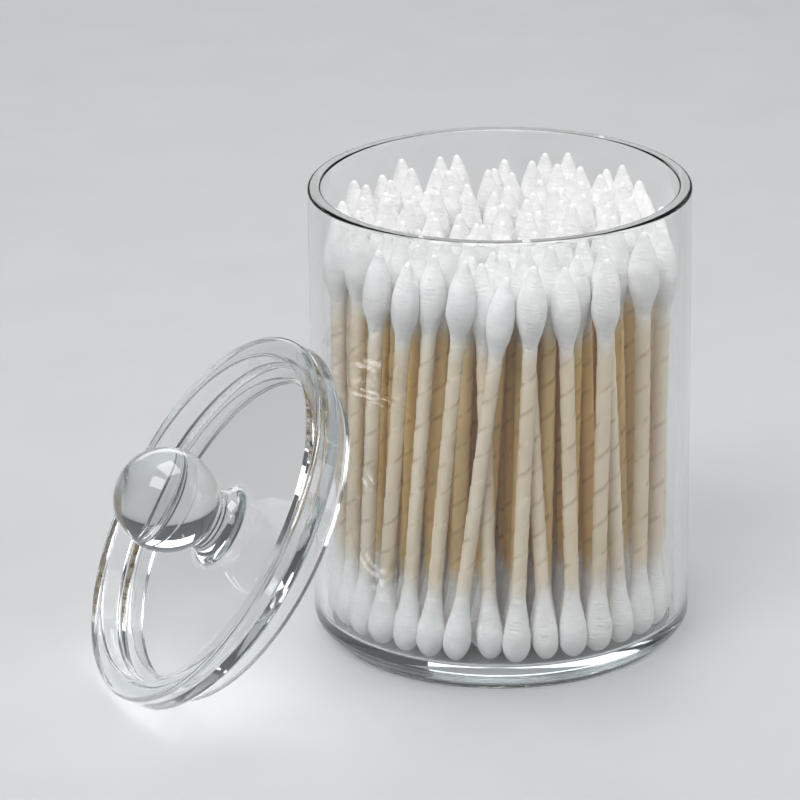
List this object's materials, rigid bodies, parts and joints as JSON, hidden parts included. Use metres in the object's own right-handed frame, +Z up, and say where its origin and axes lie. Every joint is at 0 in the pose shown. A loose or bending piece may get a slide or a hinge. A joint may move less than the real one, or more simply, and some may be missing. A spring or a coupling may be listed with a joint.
{
  "type": "cotton swab jar",
  "caption": "Clear round jar of cotton swabs standing on end, with its plug lid and ball knob off and leaning against the wall.",
  "frame": {"origin": "centre of the jar's foot, on the surface it stands on", "axes": "+Z up along the jar's axis, -Y towards the viewer of the picture, -X towards the side where the lid leans"},
  "size_m": [0.1105, 0.0963, 0.086],
  "materials": {
    "clear_acrylic": "clear, polished",
    "paper": "matte rolled paper",
    "cotton": "matte wound cotton"
  },
  "bodies": {
    "root": {"jar": "clear_acrylic", "lid": "clear_acrylic", "sticks_row_1": "paper", "round_tips_row_1": "cotton", "pointed_tips_row_1": "cotton", "sticks_row_2": "paper", "round_tips_row_2": "cotton", "pointed_tips_row_2": "cotton", "sticks_row_3": "paper", "round_tips_row_3": "cotton", "pointed_tips_row_3": "cotton", "sticks_row_4": "paper", "round_tips_row_4": "cotton", "pointed_tips_row_4": "cotton", "sticks_row_5": "paper", "round_tips_row_5": "cotton", "pointed_tips_row_5": "cotton", "sticks_row_6": "paper", "round_tips_row_6": "cotton", "pointed_tips_row_6": "cotton"}
  },
  "joints": []
}
